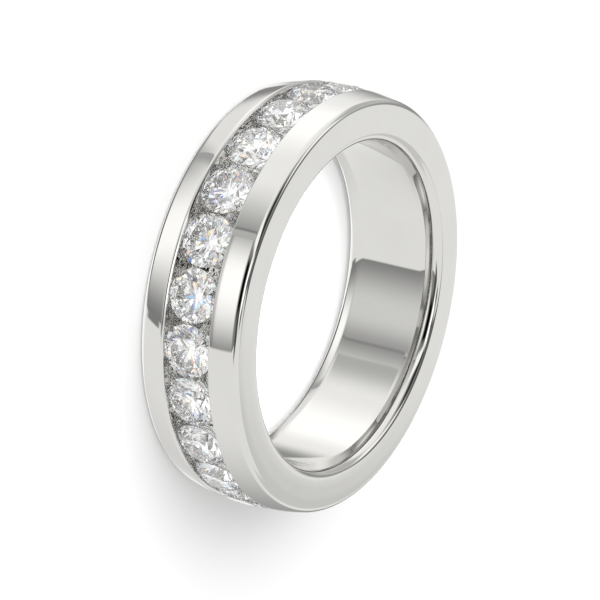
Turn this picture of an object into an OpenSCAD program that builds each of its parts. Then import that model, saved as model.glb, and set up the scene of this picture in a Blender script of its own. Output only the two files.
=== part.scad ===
// Channel-set eternity ring: a cast band with a row of round brilliants between two rails.
// Millimetres. The ring lies on one side face, its axis along +Z.
// The origin is the centre of that face, in the middle of the finger hole.

/* [Ring size] */
// Inside diameter of the finger hole
bore_d = 17.3; // [15.7:0.1:19.8]
// Width of the band, from one side face to the other
band_w = 5.8; // [5.4:0.1:6.4]
// Thickness of the metal at the rails' inner top edges
rail_t = 2.55; // [2.5:0.05:3.0]
// How much lower the rails' outside is at the side faces than at their inner edges
rail_drop = 0.3; // [0.2:0.05:0.5]

/* [Polished edges] */
// Radius of the two rounded outer edges
outer_edge_r = 0.3; // [0.15:0.05:0.4]
// Radius of the two rounded edges of the finger hole, for comfort
bore_edge_r = 0.8; // [0.4:0.1:1.0]
// Size of the small bevel along each rail's inner top edge
rail_bevel = 0.12; // [0.06:0.02:0.14]

/* [Channel] */
// Width of the channel between its two walls
channel_w = 2.68; // [2.62:0.02:2.72]
// How far the girdles lie below the rails' inner top edges
girdle_depth = 0.35; // [0.33:0.01:0.45]
// Clearance between a stone and its seat grooves
seat_gap = 0.03; // [0.02:0.01:0.04]
// Clearance between a stone's point and the channel floor
floor_gap = 0.13; // [0.1:0.01:0.3]
// Slope of the seat grooves' flanks, in degrees
groove_angle = 38; // [36:1:42]

/* [Stones] */
// Diameter of a stone at its girdle
stone_d = 2.8; // [2.76:0.01:2.84]
// Smallest gap between two neighbouring girdles
stone_gap = 0.05; // [0.03:0.01:0.2]
// Width of the table, as a share of the stone's diameter
table_share = 0.58; // [0.53:0.01:0.62]
// Slope of the crown's main facets, in degrees
crown_angle = 33; // [30:0.5:36]
// Slope of the pavilion's main facets, in degrees
pavilion_angle = 40.9; // [40:0.1:41.5]
// Thickness of the girdle where it is thickest
girdle_t = 0.09; // [0.08:0.01:0.12]
// How far the star facets reach from the table's edge to the girdle
star_share = 0.5; // [0.4:0.05:0.6]
// How far the lower halves reach from the girdle to the point
lower_share = 0.75; // [0.7:0.05:0.85]
// Turn of the first stone from the front, which faces -Y, in degrees
row_turn = 6.8; // [0:0.1:14.9]

/* [Hidden] */
$fn = 120;
// Amount by which a cutting shape runs past the metal
over = 1;

// The band's section, in distances from the axis (r) and from the middle of its width (z)
bore_r = bore_d / 2;
half_w = band_w / 2;
crest_r = bore_r + rail_t;
crest_z = channel_w / 2 + rail_bevel;
corner_r = crest_r - rail_drop;

// One shallow arc runs over both rails, through their inner edges and the corners of the side faces
crown_mid_r = (crest_r^2 + crest_z^2 - corner_r^2 - half_w^2) / (2 * rail_drop);
crown_arc_r = norm([crest_r - crown_mid_r, crest_z]);

// The rounded outer edge touches the arc from inside and the side face
edge_z = half_w - outer_edge_r;
edge_r = crown_mid_r + sqrt((crown_arc_r - outer_edge_r)^2 - edge_z^2);
edge_angle = atan2(edge_z, edge_r - crown_mid_r);

// A brilliant's heights above and below the middle of its girdle
stone_r = stone_d / 2;
girdle_h = girdle_t / 2;
table_r = table_share * stone_r;
table_h = girdle_h + (stone_r - table_r) * tan(crown_angle);
point_h = girdle_h + stone_r * tan(pavilion_angle);

// The row: as many stones as fit round the ring, evenly spread
girdle_r = crest_r - girdle_depth;
half_pitch_min = atan((stone_d + stone_gap) / (2 * girdle_r));
stone_count = floor(180 / half_pitch_min);
pitch = 360 / stone_count;

// Channel floor and seat grooves
floor_r = girdle_r - point_h - floor_gap;
wall_z = channel_w / 2;
groove_z = stone_r + seat_gap;
groove_h = girdle_h + seat_gap;
groove_mouth_h = groove_h + (groove_z - wall_z) * tan(groove_angle);

// A brilliant has eight main facets, one step apart, and four points of its round outline to each
mains = 8;
outline = 4 * mains;
step = 360 / mains;

// How much further each stone is turned on its own axis than the one before, in degrees
own_turn = 17;

function stone_name(i) = str("stone_", i < 10 ? "0" : "", i);

// A point at a distance from the stone's axis, at an angle round it and at a height
function at(r, angle, h) = [r * cos(angle), r * sin(angle), h];

// Metal outside the rounded outer edge of the upper side face
module outer_edge_waste() {
    difference() {
        polygon([
            [edge_r, edge_z],
            [edge_r, half_w + over],
            [edge_r + outer_edge_r + over, half_w + over],
            [edge_r, edge_z] + (outer_edge_r + over) * [cos(edge_angle), sin(edge_angle)]
        ]);
        translate([edge_r, edge_z]) circle(r = outer_edge_r);
    }
}

// Metal outside the rounded edge of the finger hole, on the upper side face
module bore_edge_waste() {
    difference() {
        translate([bore_r - over, half_w - bore_edge_r]) square([bore_edge_r + over, bore_edge_r + over]);
        translate([bore_r + bore_edge_r, half_w - bore_edge_r]) circle(r = bore_edge_r);
    }
}

// One half of the channel: floor, wall, seat groove, wall again and bevel
module half_channel() {
    polygon([
        [floor_r, -over],
        [floor_r, wall_z],
        [girdle_r - groove_mouth_h, wall_z],
        [girdle_r - groove_h, groove_z],
        [girdle_r + groove_h, groove_z],
        [girdle_r + groove_mouth_h, wall_z],
        [crest_r - rail_bevel, wall_z],
        [crest_r + over, crest_z + over],
        [crest_r + over, -over]
    ]);
}

// The band's section, symmetrical about the middle of its width
module band_section() {
    difference() {
        intersection() {
            translate([bore_r, -half_w]) square([crest_r, band_w]);
            translate([crown_mid_r, 0]) circle(r = crown_arc_r);
        }
        for (side = [0, 1]) {
            mirror([0, side]) {
                outer_edge_waste();
                bore_edge_waste();
                half_channel();
            }
        }
    }
}

// The cast band: shank, rails, channel floor and seat grooves in one piece of metal
module band() {
    color("gainsboro")
        translate([0, 0, half_w])
            rotate_extrude() band_section();
}

// One round brilliant, its axis along +Z and the middle of its girdle at the origin.
// Rings of points, from the top: table, star tips, upper girdle, lower girdle, lower-half tips and the point.
module brilliant() {
    table_edge_r = table_r * cos(step / 2);
    star_r = table_edge_r + star_share * (stone_r - table_edge_r);
    star_h = table_h - (star_r * cos(step / 2) - table_r) * tan(crown_angle);
    lower_r = (1 - lower_share) * stone_r;
    lower_h = -girdle_h - (stone_r - lower_r * cos(step / 2)) * tan(pavilion_angle);

    // Between two corners the girdle's edge dips where the flat half facets meet the round outline
    upper_slope = (star_h - girdle_h) / ((stone_r - star_r) * cos(step / 4));
    lower_slope = (-girdle_h - lower_h) / ((stone_r - lower_r) * cos(step / 4));
    bulge = stone_r * (1 - cos(step / 4));
    upper_dip = girdle_h - bulge * upper_slope;
    lower_dip = -girdle_h + bulge * lower_slope;

    table = [for (k = [0 : mains - 1]) at(table_r, k * step, table_h)];
    star = [for (k = [0 : mains - 1]) at(star_r, (k + 0.5) * step, star_h)];
    upper = [for (k = [0 : outline - 1]) at(stone_r, k * step / 4, k % 2 == 0 ? girdle_h : upper_dip)];
    lower = [for (k = [0 : outline - 1]) at(stone_r, k * step / 4, k % 2 == 0 ? -girdle_h : lower_dip)];
    tips = [for (k = [0 : mains - 1]) at(lower_r, (k + 0.5) * step, lower_h)];
    point = [[0, 0, -point_h]];

    // Where each ring starts in the list of points
    s = mains;
    u = s + mains;
    l = u + outline;
    t = l + outline;
    p = t + mains;

    // Faces from the top: table, stars, crown mains, upper halves, girdle, lower halves, pavilion mains
    table_face = [[for (k = [mains - 1 : -1 : 0]) k]];
    stars = [for (k = [0 : mains - 1]) [k, (k + 1) % mains, s + k]];
    crown_mains = [for (k = [0 : mains - 1]) [k, s + k, u + 4 * k, s + (k + mains - 1) % mains]];
    upper_halves = [
        for (k = [0 : mains - 1], q = [4 * k])
            each [
                [s + k, u + q + 2, u + q + 1, u + q],
                [s + k, u + (q + 4) % outline, u + q + 3, u + q + 2]
            ]
    ];
    girdle = [for (k = [0 : outline - 1], n = [(k + 1) % outline]) [u + k, u + n, l + n, l + k]];
    lower_halves = [
        for (k = [0 : mains - 1], q = [4 * k])
            each [
                [t + k, l + q, l + q + 1, l + q + 2],
                [t + k, l + q + 2, l + q + 3, l + (q + 4) % outline]
            ]
    ];
    pavilion_mains = [for (k = [0 : mains - 1]) [t + (k + mains - 1) % mains, l + 4 * k, t + k, p]];

    polyhedron(
        points = concat(table, star, upper, lower, tips, point),
        faces = concat(table_face, stars, crown_mains, upper_halves, girdle, lower_halves, pavilion_mains)
    );
}

// Stone number i in its seat. Each is turned a little on its own axis, as stones are set by hand.
module stone(i) {
    color("azure")
        rotate([0, 0, -90 + row_turn + (i - 1) * pitch])
            translate([girdle_r, 0, half_w])
                rotate([0, 90, 0])
                    rotate([0, 0, (i * own_turn) % step])
                        brilliant();
}

band();
for (i = [1 : stone_count]) stone(i);
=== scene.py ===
# %% [markdown]
# # A channel-set eternity ring
# A polished white-gold band with a full row of round brilliants held between two rails.
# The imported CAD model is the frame, and every piece here keeps its size and its place. The stones keep
# their CAD shape and get a diamond finish. The band is modelled again with a much finer mesh, because a
# mirror shows each flat facet of a coarse one, and a real ring is perfectly smooth.
# Everything is in metres. The ring lies on one side face and its axis points up.

from functools import partial
from math import atan2, cos, degrees, hypot, pi, radians, sin, sqrt, tan

import bpy
from mathutils import Matrix, Vector


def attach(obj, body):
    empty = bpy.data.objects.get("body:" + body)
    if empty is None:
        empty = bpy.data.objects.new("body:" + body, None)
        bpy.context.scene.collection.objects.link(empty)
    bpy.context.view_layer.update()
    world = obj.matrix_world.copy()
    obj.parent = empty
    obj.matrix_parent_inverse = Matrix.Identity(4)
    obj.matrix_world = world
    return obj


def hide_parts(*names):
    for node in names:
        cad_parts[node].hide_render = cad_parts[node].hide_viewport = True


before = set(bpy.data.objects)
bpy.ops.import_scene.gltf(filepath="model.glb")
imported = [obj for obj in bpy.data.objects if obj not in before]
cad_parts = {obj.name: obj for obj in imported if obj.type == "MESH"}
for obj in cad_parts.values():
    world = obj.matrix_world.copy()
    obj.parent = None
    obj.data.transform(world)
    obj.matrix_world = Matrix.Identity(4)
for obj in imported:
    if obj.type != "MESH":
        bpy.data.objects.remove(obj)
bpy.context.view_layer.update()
MM = 0.001

# %% [markdown]
# ## Sizes
# A jeweller describes such a ring by its finger size, the width and thickness of the band, and the stones.
# The section is drawn in distances from the ring's axis (r) and from the middle of the band's width (z).
# The main sizes are the CAD model's own, so the smooth band lies where the solid one is. Only the small
# edges are shaped more finely, after what they mirror in the photograph: the outer edge, the comfort edge
# of the finger hole, and the lip along the channel. They leave the solid by a tenth of a millimetre at most.

# %% Sizes of the band
bore_r = 8.65 * MM
half_w = 2.9 * MM
rail_t = 2.55 * MM
rail_drop = 0.3 * MM
crest_r = bore_r + rail_t
crest_z = 1.46 * MM
corner_r = crest_r - rail_drop
wall_z = 1.34 * MM
print("band", round(2 * half_w / MM, 2), "mm wide, rails", round(rail_t / MM, 2), "mm thick")

# %% Sizes of its polished edges
outer_edge_r = 0.40 * MM
comfort_r = 0.48 * MM
comfort_slope_r = 2.9 * MM
comfort_turn = radians(15)
lip_flat = 0.09 * MM
lip_turn = radians(50)
lip_in_r = 0.06 * MM
lip_out_r = 0.08 * MM
print("lip", round(lip_flat / MM, 2), "mm wide, turned", round(degrees(lip_turn)), "degrees")

# %% Sizes of the stones and their seats
stone_r = 1.4 * MM
girdle_depth = 0.35 * MM
girdle_r = crest_r - girdle_depth
girdle_half = 0.045 * MM
pavilion_angle = radians(40.9)
point_h = girdle_half + stone_r * tan(pavilion_angle)
seat_gap = 0.03 * MM
floor_gap = 0.13 * MM
groove_angle = radians(38)
row_turn = radians(6.8)
first_stone = row_turn - pi / 2
stones = sorted(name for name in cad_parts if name.startswith("stone_"))
pitch = 2 * pi / len(stones)
print(len(stones), "stones, one every", round(degrees(pitch), 2), "degrees")

# %% [markdown]
# ## Camera
# The photograph is a close-up from about 18 cm with a long lens, from 30 degrees above the side face.
# A camera could be moved by hand until the picture looks right. Here it is placed by its distance and two
# angles, which follow from the ring's outlines in the photograph, and aimed at the middle of the picture.
# It is then rolled, because the photographed ring stands on its edge while this one lies on its side.

# %% Camera
aim = Vector((0.262, -0.125, 2.685)) * MM
distance = 182.33 * MM
look_down = radians(30.19)
heading = radians(0.095)
roll = radians(103.58)


def looking_back(direction):
    """The turn of a camera or a lamp that lies in a direction and looks back from there."""
    return (-direction).to_track_quat("-Z", "Y").to_matrix()


away = Vector((-sin(heading) * cos(look_down), -cos(heading) * cos(look_down), sin(look_down)))
rolled = looking_back(away) @ Matrix.Rotation(roll, 3, "Z")
camera_data = bpy.data.cameras.new("camera")
camera_data.sensor_width = 36
camera_data.lens = 209.19
camera_data.clip_start = 0.01
camera_data.clip_end = 10
camera = bpy.data.objects.new("camera", camera_data)
camera.matrix_world = Matrix.Translation(aim + distance * away) @ rolled.to_4x4()
bpy.context.scene.collection.objects.link(camera)
bpy.context.scene.camera = camera
print("camera at", [round(v / MM, 1) for v in camera.matrix_world.translation], "mm")

# %% [markdown]
# ## Helpers for modelling
# An operator acts on all that is selected, so each step begins with a clean selection.
# A new object starts from a primitive and is then shaped in edit mode.

# %% Helpers for selecting and editing
def only(piece):
    """Selects one object and nothing else."""
    if bpy.context.mode != "OBJECT":
        bpy.ops.object.mode_set(mode="OBJECT")
    bpy.ops.object.select_all(action="DESELECT")
    piece.select_set(True)
    bpy.context.view_layer.objects.active = piece


def edit(piece):
    """Opens one object in edit mode with all of its mesh selected."""
    only(piece)
    bpy.ops.object.mode_set(mode="EDIT")
    bpy.ops.mesh.select_all(action="SELECT")


def leave():
    """Goes back to object mode, which also writes the edited mesh."""
    bpy.ops.object.mode_set(mode="OBJECT")


def finish_with(piece, kind, **settings):
    """Adds a modifier with its settings and applies it."""
    only(piece)
    modifier = piece.modifiers.new(kind.lower(), kind)
    for name, value in settings.items():
        setattr(modifier, name, value)
    bpy.ops.object.modifier_apply(modifier=modifier.name)


# %% [markdown]
# ## The band's section
# The real band is turned from a casting: its section is the same all the way round. It could be cut out of
# a thick tube, but its rounded edges are easier to draw than to cut. So one half of the section is drawn as
# a line that starts in the channel and ends in the finger hole. A single point is extruded along each
# straight stretch, and spun about a centre for each arc. That gives true arcs for the crowned rail, the
# rounded outer edge and the comfort edge. Where the setter has closed a rail over the stones, its inner
# edge is trimmed to a narrow flat lip with rounded borders, which shows as a thin white line.

# %% Where the section's arcs have their centres
crown_mid_r = (crest_r**2 + crest_z**2 - corner_r**2 - half_w**2) / (2 * (crest_r - corner_r))
crown_arc_r = hypot(crest_r - crown_mid_r, crest_z)
edge_z = half_w - outer_edge_r
edge_r = crown_mid_r + sqrt((crown_arc_r - outer_edge_r) ** 2 - edge_z**2)
lip_z = wall_z + lip_in_r + lip_flat * cos(lip_turn) + (lip_out_r - lip_in_r) * sin(lip_turn)
lip_r = crown_mid_r + sqrt((crown_arc_r - lip_out_r) ** 2 - lip_z**2)
lip_top = (lip_r + lip_out_r * cos(lip_turn), lip_z - lip_out_r * sin(lip_turn))
lip_foot_r = lip_top[0] - lip_flat * sin(lip_turn) - lip_in_r * cos(lip_turn)
crown_from = atan2(lip_z, lip_r - crown_mid_r)
crown_to = atan2(edge_z, edge_r - crown_mid_r)
side_r = bore_r + comfort_slope_r - (comfort_slope_r - comfort_r) * cos(comfort_turn)
slope_mid_z = half_w - comfort_r - (comfort_slope_r - comfort_r) * sin(comfort_turn)
print("rail arc from", round(degrees(crown_from), 1), "to", round(degrees(crown_to), 1), "degrees")
print("side faces from", round(side_r / MM, 3), "mm from the axis")

# %% Where the channel's corners are
floor_r = girdle_r - point_h - floor_gap
groove_z = stone_r + seat_gap
groove_h = girdle_half + seat_gap
mouth_h = groove_h + (groove_z - wall_z) * tan(groove_angle)
print("channel floor at", round(floor_r / MM, 3), "mm from the axis")

# %% Start the line with a single point
bpy.ops.object.select_all(action="DESELECT")
bpy.ops.mesh.primitive_plane_add(size=1 * MM, location=(0, 0, 0))
band = bpy.context.object
band.name = band.data.name = "polished_band"
edit(band)
bpy.ops.mesh.merge(type="CENTER")
bpy.ops.transform.translate(value=(floor_r, 0, 0))
pen = [floor_r, 0.0]


def line_to(r, z, parts=1):
    """Extrudes the pen's point in a straight line."""
    step = ((r - pen[0]) / parts, 0, (z - pen[1]) / parts)
    for _ in range(parts):
        bpy.ops.mesh.extrude_region_move(TRANSFORM_OT_translate={"value": step})
    pen[:] = [r, z]


def arc_about(mid_r, mid_z, turn, parts):
    """Spins the pen's point about a centre, from the outside of the ring towards its side face."""
    bpy.ops.mesh.spin(steps=parts, angle=turn, center=(mid_r, 0, mid_z), axis=(0, 1, 0))
    dr, dz = pen[0] - mid_r, pen[1] - mid_z
    pen[:] = [mid_r + dr * cos(turn) - dz * sin(turn), mid_z + dr * sin(turn) + dz * cos(turn)]


print("the line starts", round(pen[0] / MM, 3), "mm from the axis")

# %% Draw the channel's floor, wall and groove
line_to(floor_r, wall_z, parts=2)
line_to(girdle_r - mouth_h, wall_z)
line_to(girdle_r - groove_h, groove_z)
line_to(girdle_r + groove_h, groove_z)
line_to(girdle_r + mouth_h, wall_z)
print("the channel ends", [round(v / MM, 3) for v in pen], "mm from the axis and the middle")

# %% Draw the lip, the rail and its outer edge
line_to(lip_foot_r, wall_z)
arc_about(lip_foot_r, wall_z + lip_in_r, pi / 2 - lip_turn, parts=3)
line_to(*lip_top)
arc_about(lip_r, lip_z, lip_turn + crown_from, parts=8)
arc_about(crown_mid_r, 0, crown_to - crown_from, parts=8)
arc_about(edge_r, edge_z, pi / 2 - crown_to, parts=10)
print("the rail ends", [round(v / MM, 3) for v in pen], "mm from the axis and the middle")

# %% Draw the side face, the comfort edge and the finger hole
line_to(side_r, half_w, parts=3)
arc_about(side_r, half_w - comfort_r, pi / 2 - comfort_turn, parts=16)
arc_about(bore_r + comfort_slope_r, slope_mid_z, comfort_turn, parts=10)
line_to(bore_r, 0, parts=3)
leave()
print("half section:", len(band.data.vertices), "points, to", [round(v / MM, 3) for v in pen])

# %% [markdown]
# ## Turn the section into half a band
# The half section is spun once round the ring's axis. A tiny bevel then breaks the crisp edges, as
# polishing does, and catches the light as a fine line. The steps are turned so that one falls on each stone.

# %% Spin and break the edges
steps_a_stone = 15
round_step = pitch / steps_a_stone
weld = 0.0005 * MM
broken_edge = 0.018 * MM
crisp_angle = radians(25)
edit(band)
bpy.ops.mesh.spin(steps=steps_a_stone * len(stones), angle=2 * pi, center=(0, 0, 0), axis=(0, 0, 1))
bpy.ops.mesh.select_all(action="SELECT")
bpy.ops.mesh.remove_doubles(threshold=weld)
bpy.ops.transform.rotate(value=-(first_stone % round_step), orient_axis="Z", center_override=(0, 0, 0))
leave()
finish_with(band, "BEVEL", width=broken_edge, segments=3, limit_method="ANGLE", angle_limit=crisp_angle)
first_point = band.data.vertices[0].co
steps_off = (atan2(first_point.y, first_point.x) - first_stone) / round_step
print("steps from a stone:", round(steps_off, 3))

# %% [markdown]
# ## Notches for the girdles
# A setter cuts a short notch into each wall for each stone, and the wall between two notches stays plain.
# The notches could be cut with a copy of each stone, but that leaves ragged faces in a fine mesh. Instead
# the groove that was spun all round is the notch's section. Between the stones its points are pressed back
# into the wall, and beside a stone they follow the round girdle. Scaling across the wall does both.

# %% Press the groove back between the stones
hair = 0.001 * MM
groove_margin_z = 0.02 * MM
groove_margin_r = 0.03 * MM


def notch_share(point):
    """How much of the groove's depth is left at a point: 1 beside a stone and 0 between two stones."""
    turn = (atan2(point.y, point.x) - first_stone + pitch / 2) % pitch - pitch / 2
    beside = girdle_r * sin(turn)
    depth = sqrt(max(0, groove_z**2 - beside**2)) - wall_z
    return round(max(0, depth) / (groove_z - wall_z), 2)


def in_groove(point):
    """True for the groove's points, and false for those of the wall and the rail."""
    beyond_wall = wall_z + hair < point.z < groove_z + groove_margin_z
    return beyond_wall and abs(hypot(point.x, point.y) - girdle_r) < mouth_h + groove_margin_r


groove = {v.index: notch_share(v.co) for v in band.data.vertices if in_groove(v.co)}
shares = sorted(set(groove.values()))
for share in shares:
    edit(band)
    bpy.ops.mesh.select_all(action="DESELECT")
    leave()
    for index, its_share in groove.items():
        band.data.vertices[index].select = its_share == share
    bpy.ops.object.mode_set(mode="EDIT")
    bpy.ops.transform.resize(value=(1, 1, share), center_override=(0, 0, wall_z))
    leave()
print(len(groove), "points of the groove, depths left:", shares)

# %% [markdown]
# ## The other half
# A mirror adds the other half. Spinning and mirroring can leave a seam open and faces inside out, so
# doubles are merged and normals recalculated. Weighted normals then keep the flat faces flat in a mirror.

# %% Mirror and finish the mesh
seam_weld = 0.0002 * MM
smooth_angle = radians(35)
finish_with(band, "MIRROR", use_axis=(False, False, True), use_clip=True, merge_threshold=weld)
edit(band)
bpy.ops.mesh.remove_doubles(threshold=seam_weld)
bpy.ops.mesh.normals_make_consistent(inside=False)
bpy.ops.transform.translate(value=(0, 0, half_w))
leave()
only(band)
bpy.ops.object.shade_smooth_by_angle(angle=smooth_angle)
finish_with(band, "WEIGHTED_NORMAL", mode="FACE_AREA", weight=50, keep_sharp=True)
band_triangles = sum(len(face.vertices) - 2 for face in band.data.polygons)
band_box = [[round(f(v.co[i] for v in band.data.vertices) / MM, 3) for i in range(3)] for f in (min, max)]
print("band:", band_triangles, "triangles, box in mm", band_box)

# %% [markdown]
# ## Two finishes
# A polishing wheel reaches the rails and the upper walls. The channel's floor and lower walls keep the skin
# of the casting. So the faces below the seats are listed here, and get the rougher finish later.

# %% Keep two finishes apart
def in_channel(face):
    """True for the channel's floor and its walls up to the seats."""
    corners = [band.data.vertices[i].co for i in face.vertices]
    reach = [hypot(corner.x, corner.y) for corner in corners]
    beside = max(abs(corner.z - half_w) for corner in corners)
    below_seats = floor_r - groove_margin_z < min(reach) and max(reach) < girdle_r - groove_h
    return below_seats and beside < groove_z + groove_margin_z


channel_faces = [face.index for face in band.data.polygons if in_channel(face)]
print(len(channel_faces), "faces of", len(band.data.polygons), "are in the channel")

# %% [markdown]
# ## Place in the frame
# The band rides on the ring's one body. It hides the coarse CAD band, which still serves for collision.

# %% Put the band in the frame
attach(band, "root")
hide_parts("band")
print(band.name, "stands for the CAD node band")

# %% [markdown]
# ## Floor
# A big pale sheet, as under a product photograph. It carries the ring and takes its soft shadow.
# It is kept out of the mirrors, so that the rails and the finger hole show the studio's panels all round,
# as they do on a ring that stands on its edge.

# %% Floor
floor_size = 4
bpy.ops.object.select_all(action="DESELECT")
bpy.ops.mesh.primitive_grid_add(x_subdivisions=4, y_subdivisions=4, size=floor_size, location=(0, 0, 0))
floor = bpy.context.object
floor.name = floor.data.name = "floor"
floor.visible_glossy = False

floor_paper = bpy.data.materials.new("floor_paper")
floor_paper.use_nodes = True
paper = floor_paper.node_tree.nodes["Principled BSDF"]
paper.inputs["Base Color"].default_value = (0.93, 0.93, 0.93, 1)
paper.inputs["Roughness"].default_value = 0.9
paper.inputs["Specular IOR Level"].default_value = 0.0
floor.data.materials.append(floor_paper)
print("floor of", floor_size, "m")

# %% [markdown]
# ## Helpers for nodes
# Sky and finishes are node trees. A few helpers keep them readable: a node's input is given a number, a
# colour or another node's output in the same way, and an effect that is used often becomes a group.

# %% Helpers for nodes
def feed(tree, socket, source):
    """Gives an input a value of its own, or links it to another node's output."""
    if isinstance(source, bpy.types.NodeSocket):
        tree.links.new(source, socket)
    else:
        socket.default_value = source


def new_node(tree, kind, **inputs):
    """A new node with some inputs fed by name."""
    node = tree.nodes.new(kind)
    for name, source in inputs.items():
        feed(tree, node.inputs[name.replace("_", " ")], source)
    return node


def math_node(tree, operation, *sources):
    """A math node with its inputs fed in order. Returns its output."""
    node = tree.nodes.new("ShaderNodeMath")
    node.operation = operation
    for socket, source in zip(node.inputs, sources):
        feed(tree, socket, source)
    return node.outputs[0]


def ramp_node(tree, value, start, end):
    """0 before start and 1 after end, with a smooth rise between them."""
    node = new_node(tree, "ShaderNodeMapRange", Value=value, From_Min=start, From_Max=end)
    node.interpolation_type = "SMOOTHSTEP"
    return node.outputs["Result"]


def mix_node(tree, data_type, share, first, second):
    """From the first value or colour to the second, by a share from 0 to 1."""
    node = tree.nodes.new("ShaderNodeMix")
    node.data_type = data_type
    for name, source in (("Factor", share), ("A", first), ("B", second)):
        feed(tree, node.inputs[name], source)
    return node.outputs["Result"]


# %% Helpers for node groups
def new_group(name, inputs, output):
    """A group with inputs {name: default}, a place where the default is None, and one float output."""
    group = bpy.data.node_groups.new(name, "ShaderNodeTree")
    for socket, default in inputs.items():
        kind = "NodeSocketVector" if default is None else "NodeSocketFloat"
        item = group.interface.new_socket(socket, in_out="INPUT", socket_type=kind)
        if default is not None:
            item.default_value = default
    group.interface.new_socket(output, in_out="OUTPUT", socket_type="NodeSocketFloat")
    return group, group.nodes.new("NodeGroupInput").outputs, group.nodes.new("NodeGroupOutput").inputs[output]


def use_group(tree, group, **inputs):
    """Places a group in a tree with some inputs fed by name. Returns its one output."""
    node = tree.nodes.new("ShaderNodeGroup")
    node.node_tree = group
    for name, source in inputs.items():
        feed(tree, node.inputs[name], source)
    return node.outputs[0]


# %% [markdown]
# ## Studio
# Polished metal has no look of its own: it shows what stands round it. Jewellery is therefore lit with
# large soft panels and with dark gaps between them, and each shape in the rails is a panel or a gap.
# Real lamps could be placed for each panel, but the panels are painted on the sky, by direction: that is
# exact and quick to render. One angle goes round the ring's axis, from +Y towards +X, and the other rises
# from the ring's side plane towards its axis. Each panel has a middle, a half size and soft borders, and a
# later panel covers an earlier one. All angles are in degrees.

# %% A node group for one panel
panel_inputs = {"Round": 0.0, "Rise": 0.0, "Middle": 0.0, "Half": 10.0, "Soft before": 5.0,
                "Soft after": 5.0, "Low": -90.0, "High": 90.0, "Soft rise": 5.0}
panel_group, given, made = new_group("studio_panel", panel_inputs, "Mask")
maths, ramp = partial(math_node, panel_group), partial(ramp_node, panel_group)
half_turn = 180
off = maths("WRAP", maths("SUBTRACT", given["Round"], given["Middle"]), half_turn, -half_turn)
start = maths("MULTIPLY", given["Half"], -1)
rising = ramp(off, maths("SUBTRACT", start, given["Soft before"]), start)
falling = ramp(off, given["Half"], maths("ADD", given["Half"], given["Soft after"]))
low = ramp(given["Rise"], maths("SUBTRACT", given["Low"], given["Soft rise"]), given["Low"])
high = ramp(given["Rise"], given["High"], maths("ADD", given["High"], given["Soft rise"]))
across = maths("MULTIPLY", rising, maths("SUBTRACT", 1.0, falling))
along = maths("MULTIPLY", low, maths("SUBTRACT", 1.0, high))
feed(panel_group, made, maths("MULTIPLY", across, along))
print("studio_panel group:", len(panel_group.nodes), "nodes")

# %% The panels
dark_room = 0.22
panel_columns = ("Middle", "Half", "Soft before", "Soft after", "Low", "High", "Soft rise")
panels = [
    # name, brightness, middle, half, soft before, soft after, low, high, soft rise
    ("front_far", 1.13, -160, 5, 52, 75, -90, -45, 5),
    ("front", 0.68, 178, 3, 36, 30, -39, 10, 8),
    ("front_bright", 1.19, 179, 1, 41, 30, -13, 3, 4),
    ("gap", 0.25, -90, 68, 1.5, 1.5, -39, 70, 3),
    ("overhead", 0.94, -91.5, 33.5, 40, 40, -34, 40, 20),
    ("overhead_core", 1.20, -82, 4, 30, 22, -34, -8, 30),
    ("overhead_far", 0.84, -78, 12, 11, 40, -50, -42, 4),
    ("overhead_end", 0.25, -33, 5, 20, 6, -42, -35, 3),
    ("overhead_side", 0.50, -50, 8, 14, 8, 8, 45, 10),
    ("far_line", 0.40, -105, 1.5, 9, 1.2, -62, -43, 5),
    ("gap_end", 0.49, -157.2, 1.3, 0.7, 1.2, -20, 20, 3),
    ("gap_line", 0.25, -155, 0.3, 0.7, 0.8, -20, 20, 3),
    ("gap_line_bore", 0.27, -157.3, 0.4, 0.7, 0.9, -39, -24, 3),
    ("bore_shade", 0.47, -144, 0.5, 2, 26, -34, -24, 3),
    ("bore_end", 0.28, -25, 4, 24, 3, -33.5, -28, 1.5),
    ("front_dark", 0.0, 178, 11, 14, 6, 27, 50, 12),
    ("overhead_top", 0.03, -92, 35, 10, 10, 64, 90, 6),
    ("table", 0.82, 65, 78, 11, 1.5, -90, 78, 6),
    ("table_far_end", 0.23, 142, 2, 1.5, 1.5, -56, -50, 4),
    ("table_corner", 0.08, 146, 10, 8, 8, 40, 60, 6),
    ("table_shade", 0.29, 9, 3, 3, 93, -26.5, -2, 4),
    ("table_low", 0.64, 22, 5, 3, 80, -66, -33, 3),
    ("backdrop", 0.83, -5, 23, 2.5, 6, -42, -36, 3),
    ("backdrop_low", 1.15, 14, 24, 14, 10, -90, -48, 5),
    ("floor_light", 1.02, 90, 48, 50, 12, -90, -66, 8),
    ("side_shade", 0.62, 25, 20, 5, 20, 22, 36, 4),
    ("below", 0.14, -135, 66, 12, 10, -90, -70, 5),
    ("top_dark", 0.04, 0, 181, 1, 1, 80, 90, 4),
    ("top_dark_back", 0.12, -8, 9, 12, 6, 42, 90, 6),
    ("front_high", 1.50, -178, 38, 6, 8, 68, 80, 6),
    ("front_side", 1.05, -149, 7, 7, 9, 32, 76, 8),
    ("overhead_back", 1.05, -44, 10, 14, 6, 44, 60, 8),
    ("axis_side", 1.00, -90, 18, 50, 50, 84, 90, 3),
    ("axis_table_side", 0.80, 90, 18, 50, 50, 84, 90, 3),
]
print(len(panels), "studio panels")

# %% [markdown]
# ## Two leaning panels
# The far rail mirrors the low part of the sky at a slant, so an upright border would look curved there.
# These two panels lean: their place round the axis changes with the rise. Their border runs straight
# across the rail, as that of a straight board does.

# %% The two angles of a direction
leaning = {"far_line", "overhead_far"}
lean = 1.26
lean_about = 48

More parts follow.
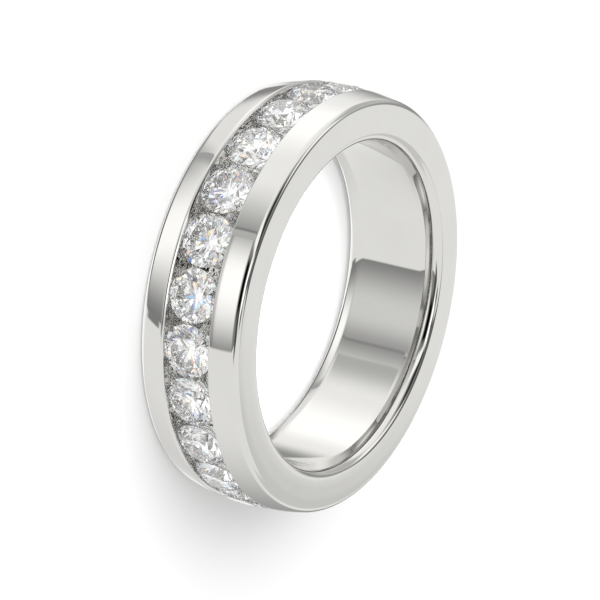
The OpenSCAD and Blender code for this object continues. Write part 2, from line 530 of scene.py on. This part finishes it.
world = bpy.data.worlds.new("studio")
bpy.context.scene.world = world
world.use_nodes = True
sky = world.node_tree
sky.nodes.clear()
maths = partial(math_node, sky)
where = new_node(sky, "ShaderNodeTexCoord").outputs["Generated"]
xyz = new_node(sky, "ShaderNodeSeparateXYZ", Vector=where).outputs
round_angle = maths("DEGREES", maths("ARCTAN2", xyz["X"], xyz["Y"]))
rise_angle = maths("DEGREES", maths("ARCSINE", xyz["Z"]))
leaning_angle = maths("MULTIPLY_ADD", maths("ADD", rise_angle, lean_about), lean, round_angle)

# %% Lay the panels over each other
brightness = dark_room
for name, level, *place in panels:
    angle = leaning_angle if name in leaning else round_angle
    mask = use_group(sky, panel_group, Round=angle, Rise=rise_angle, **dict(zip(panel_columns, place)))
    mask.node.label = name
    brightness = mix_node(sky, "FLOAT", mask, brightness, level)
print("sky:", len(sky.nodes), "nodes")

# %% [markdown]
# ## Three skies
# The mirrors see the panels, with the faint warm tint of a real room. Matt surfaces get an even fill, which
# lifts the shadows. The camera sees a plain white backdrop, as in a product photograph.

# %% The plain skies and the panels' sky
fill_strength = 0.80
backdrop_strength = 1.0
studio_strength = 1.33
white = (1, 1, 1, 1)
tint = {"Red": 1.0, "Green": 0.997, "Blue": 0.985}
tinted = {colour: maths("MULTIPLY", brightness, share) for colour, share in tint.items()}
panel_light = new_node(sky, "ShaderNodeCombineColor", **tinted).outputs[0]
fill = new_node(sky, "ShaderNodeBackground", Color=white, Strength=fill_strength).outputs[0]
backdrop = new_node(sky, "ShaderNodeBackground", Color=white, Strength=backdrop_strength).outputs[0]
studio = new_node(sky, "ShaderNodeBackground", Color=panel_light, Strength=studio_strength).outputs[0]
print("fill, backdrop and studio:", fill_strength, backdrop_strength, studio_strength)

# %% [markdown]
# ## Fire
# A diamond spreads white light into colours. Each colour leaves it in a slightly different direction, so a
# small bright lamp seen through the stone gets a blue side and an orange side. A render with one refractive
# index can't do that inside the stone, so only the light that leaves through a stone sees a few small lamps
# whose red, green and blue images lie a few degrees apart.

# %% A node group for small lamps that only the stones see
spark_inputs = {"Direction": None, "Density": 2.6, "Size": 0.14}
spark_group, given, made = new_group("small_lamps", spark_inputs, "Light")
cells = new_node(spark_group, "ShaderNodeTexVoronoi", Vector=given["Direction"], Scale=given["Density"])
border = math_node(spark_group, "MULTIPLY", given["Size"], 3.0)
outside = ramp_node(spark_group, cells.outputs["Distance"], given["Size"], border)
feed(spark_group, made, math_node(spark_group, "SUBTRACT", 1.0, outside))
print("small_lamps group:", len(spark_group.nodes), "nodes")

# %% Spread the lamps' light into three colours
lamp_strength = 0.8
panel_share = 0.76
least_light = 0.09
spread_axis = (0.5, 0.3, 0.8)
spread = {"Red": -2.3, "Green": 0.0, "Blue": 3.0}
colours = {}
for colour, turn in spread.items():
    turned = new_node(sky, "ShaderNodeVectorRotate", Vector=where, Axis=spread_axis, Angle=radians(turn))
    lamps = use_group(sky, spark_group, Direction=turned.outputs[0])
    around = maths("MULTIPLY_ADD", brightness, panel_share, least_light)
    colours[colour] = maths("MULTIPLY_ADD", lamps, lamp_strength, around)
fire_light = new_node(sky, "ShaderNodeCombineColor", **colours).outputs[0]
fire = new_node(sky, "ShaderNodeBackground", Color=fire_light, Strength=1.0).outputs[0]
print("fire spreads over", spread["Blue"] - spread["Red"], "degrees")

# %% Which ray sees which sky
def sky_for(ray, seen, otherwise):
    """One sky for one kind of ray, and another for all the others."""
    node = new_node(sky, "ShaderNodeMixShader", Fac=ray_kind[ray])
    feed(sky, node.inputs[1], otherwise)
    feed(sky, node.inputs[2], seen)
    return node.outputs[0]


ray_kind = new_node(sky, "ShaderNodeLightPath").outputs
whole_sky = sky_for("Is Glossy Ray", studio, otherwise=fill)
whole_sky = sky_for("Is Transmission Ray", fire, otherwise=whole_sky)
whole_sky = sky_for("Is Camera Ray", backdrop, otherwise=whole_sky)
new_node(sky, "ShaderNodeOutputWorld", Surface=whole_sky)
print("sky:", len(sky.nodes), "nodes")

# %% [markdown]
# ## Key light
# One large soft lamp lifts the floor to near white and gives the ring a faint shadow.
# It doesn't show in the mirrors, because the panels on the sky already do.

# %% Key light
def hang(name, lamp, matrix):
    """Puts a lamp in the scene, out of sight of mirrors and stones."""
    holder = bpy.data.objects.new(name, lamp)
    holder.matrix_world = matrix
    holder.visible_glossy = False
    holder.visible_transmission = False
    bpy.context.scene.collection.objects.link(holder)


key_round = radians(-136)
key_rise = radians(40)
key_far = 0.5
key = bpy.data.lights.new("key", "AREA")
key.shape = "DISK"
key.size = 0.6
key.energy = 2.3
to_key = Vector((sin(key_round) * cos(key_rise), cos(key_round) * cos(key_rise), sin(key_rise)))
hang("key", key, Matrix.Translation(key_far * to_key) @ looking_back(to_key).to_4x4())
print("key lamp of", key.energy, "W at", key_far, "m")

# %% [markdown]
# ## Light through the finger hole
# The floor inside the hole lies in the ring's own shade, but in the photograph it is as white as the rest.
# A narrow spot on the ring's axis lights only that patch, and like the key light it stays out of the mirrors.

# %% Light through the finger hole
spot_height = 0.3
spot = bpy.data.lights.new("hole_light", "SPOT")
spot.energy = 2.0
spot.shadow_soft_size = 0.002
spot.spot_size = 2 * atan2(bore_r, spot_height)
spot.spot_blend = 0.2
hang("hole_light", spot, Matrix.Translation((0, 0, spot_height)))
print("spot of", round(degrees(spot.spot_size), 1), "degrees")

# %% [markdown]
# ## Effects that the finishes share
# Polished metal is never quite even: polishing leaves the faintest haze, and hairlines that run round the
# ring. A cast surface has a fine grain, and a stone a trace of uneven tint. Haze, grain and tint are all soft
# clouds of one kind at different scales, so one group makes them, and a second group makes the hairlines.

# %% A group of soft clouds
cloud_inputs = {"Place": None, "Scale": 400.0, "Detail": 3.0, "Contrast": 1.0}
cloud_group, given, made = new_group("soft_clouds", cloud_inputs, "Clouds")
noise = new_node(cloud_group, "ShaderNodeTexNoise", Vector=given["Place"], Scale=given["Scale"],
                 Detail=given["Detail"], Roughness=0.6)
centred = math_node(cloud_group, "SUBTRACT", noise.outputs[0], 0.5)
feed(cloud_group, made, math_node(cloud_group, "MULTIPLY_ADD", centred, given["Contrast"], 0.5))
print("soft_clouds group:", len(cloud_group.nodes), "nodes")

# %% A group of lines that run round the ring
def round_the_axis(tree, place):
    """A place's distance from the ring's axis, its angle round the axis and its height."""
    at = new_node(tree, "ShaderNodeSeparateXYZ", Vector=place).outputs
    squared = math_node(tree, "MULTIPLY", at["X"], at["X"])
    far = math_node(tree, "SQRT", math_node(tree, "MULTIPLY_ADD", at["Y"], at["Y"], squared))
    return far, math_node(tree, "ARCTAN2", at["Y"], at["X"]), at["Z"]


line_stretch = 0.0004
line_group, given, made = new_group("polishing_lines", {"Place": None, "Fineness": 9000.0}, "Lines")
far, turn, height = round_the_axis(line_group, given["Place"])
along = math_node(line_group, "MULTIPLY", turn, line_stretch)
stretched = new_node(line_group, "ShaderNodeCombineXYZ", X=far, Y=along, Z=height).outputs[0]
lines = new_node(line_group, "ShaderNodeTexNoise", Vector=stretched, Scale=given["Fineness"],
                 Detail=2.0, Roughness=0.6)
feed(line_group, made, lines.outputs[0])
print("polishing_lines group:", len(line_group.nodes), "nodes")

# %% Helpers for a finish
def new_finish(name):
    """A new material. Returns it with its tree, its shader and the piece's own coordinates."""
    material = bpy.data.materials.new(name)
    material.use_nodes = True
    tree = material.node_tree
    place = new_node(tree, "ShaderNodeTexCoord").outputs["Object"]
    return material, tree, tree.nodes["Principled BSDF"].inputs, place


def bumped(tree, height, depth):
    """The normal of a surface with a height pattern of a given depth."""
    return new_node(tree, "ShaderNodeBump", Strength=1.0, Distance=depth, Height=height).outputs["Normal"]


# %% [markdown]
# ## Polished white gold
# The rails, the side faces and the finger hole are polished to a mirror. A perfect mirror looks like a
# drawing, so a soft haze varies tint and gloss a little, and the hairlines of the polishing wheel break up
# the sharpest reflections. Both are so faint that they only show up close.

# %% Polished white gold
polished_gold, tree, metal, place = new_finish("white_gold_polished")
maths = partial(math_node, tree)
haze = use_group(tree, cloud_group, Place=place, Scale=500.0, Contrast=1.6)
hairlines = use_group(tree, line_group, Place=place)
least_roughness, hairline_roughness, haze_roughness = 0.02, 0.015, 0.015
hairline_depth = 0.0001 * MM
dull_gold, bright_gold = (0.632, 0.629, 0.613, 1), (0.658, 0.655, 0.643, 1)
matt = maths("MULTIPLY_ADD", hairlines, hairline_roughness, least_roughness)
metal["Metallic"].default_value = 1.0
feed(tree, metal["Base Color"], mix_node(tree, "RGBA", haze, dull_gold, bright_gold))
feed(tree, metal["Roughness"], maths("MULTIPLY_ADD", haze, haze_roughness, matt))
feed(tree, metal["Normal"], bumped(tree, hairlines, hairline_depth))
print(polished_gold.name, "has", len(tree.nodes), "nodes")

# %% [markdown]
# ## The channel's cast finish
# The channel is only cleaned after casting, so its floor keeps a fine grain. It is seen in the small gaps
# between the stones, where the grain breaks up the reflections. The same clouds, much finer and with less
# detail, make its light and dark spots and its bumps.

# %% The channel's cast finish
cast_gold, tree, metal, place = new_finish("white_gold_as_cast")
grain = use_group(tree, cloud_group, Place=place, Scale=2600.0, Detail=1.0, Contrast=2.6)
least_roughness, grain_roughness = 0.05, 0.10
grain_depth = 0.03 * MM
dark_spot, light_spot = (0.56, 0.557, 0.543, 1), (1.0, 0.996, 0.98, 1)
metal["Metallic"].default_value = 1.0
feed(tree, metal["Base Color"], mix_node(tree, "RGBA", grain, dark_spot, light_spot))
feed(tree, metal["Roughness"], math_node(tree, "MULTIPLY_ADD", grain, grain_roughness, least_roughness))
feed(tree, metal["Normal"], bumped(tree, grain, grain_depth))
print(cast_gold.name, "has", len(tree.nodes), "nodes")

# %% Put both finishes on the band
band.data.materials.clear()
for finish in (polished_gold, cast_gold):
    band.data.materials.append(finish)
cast_slot = band.data.materials.find(cast_gold.name)
for index in channel_faces:
    band.data.polygons[index].material_index = cast_slot
print("slots of the band:", [finish.name for finish in band.data.materials])

# %% [markdown]
# ## Diamond
# A diamond is clear and colourless, and bends light more than any other stone. Its facets are polished, but
# its girdle, the thin rim that sits in the seats, is ground and looks frosty. A second material could be
# given to the girdle's faces, but the CAD stones are left as they are. So a group finds the girdle by its
# place: all the girdles lie at one height over the ring's axis, measured along each stone's own axis.

# %% A group that finds the girdles
girdle_core = 0.8
girdle_group, given, made = new_group("girdle_band", {"Place": None, "Half": girdle_half}, "Mask")
maths = partial(math_node, girdle_group)
far, turn, _ = round_the_axis(girdle_group, given["Place"])
from_stone = maths("WRAP", maths("SUBTRACT", turn, first_stone), pitch / 2, -pitch / 2)
above_girdle = maths("MULTIPLY_ADD", far, maths("COSINE", from_stone), -girdle_r)
core = maths("MULTIPLY", given["Half"], girdle_core)
outside = ramp_node(girdle_group, maths("ABSOLUTE", above_girdle), core, given["Half"])
feed(girdle_group, made, maths("SUBTRACT", 1.0, outside))
print("girdle_band group:", len(girdle_group.nodes), "nodes")

# %% Diamond
ground_roughness = 0.35
diamond, tree, gem, place = new_finish("diamond_cut")
cool, warm = (0.985, 0.99, 1.0, 1), (1.0, 0.995, 0.985, 1)
tint_clouds = use_group(tree, cloud_group, Place=place, Scale=300.0, Contrast=1.5)
ground = use_group(tree, girdle_group, Place=place)
gem["IOR"].default_value = 2.417
gem["Transmission Weight"].default_value = 1.0
feed(tree, gem["Base Color"], mix_node(tree, "RGBA", tint_clouds, cool, warm))
feed(tree, gem["Roughness"], math_node(tree, "MULTIPLY", ground, ground_roughness))
for name in stones:
    for material_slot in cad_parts[name].material_slots:
        material_slot.material = diamond
print("diamond on", len(stones), "stones")

# %% [markdown]
# ## Light paths and colours
# A ray that enters a brilliant is thrown back from facet to facet many times before it leaves, and each
# time counts as a bounce. With too few bounces the ray ends inside, and the stones look black.
# The plain Standard view keeps the floor white, where a film-like one would turn it grey.

# %% Light paths and colours
light_paths = bpy.context.scene.cycles
light_paths.max_bounces = 24
light_paths.glossy_bounces = 16
light_paths.transmission_bounces = 16
bpy.context.scene.view_settings.view_transform = "Standard"
print("up to", light_paths.max_bounces, "bounces")
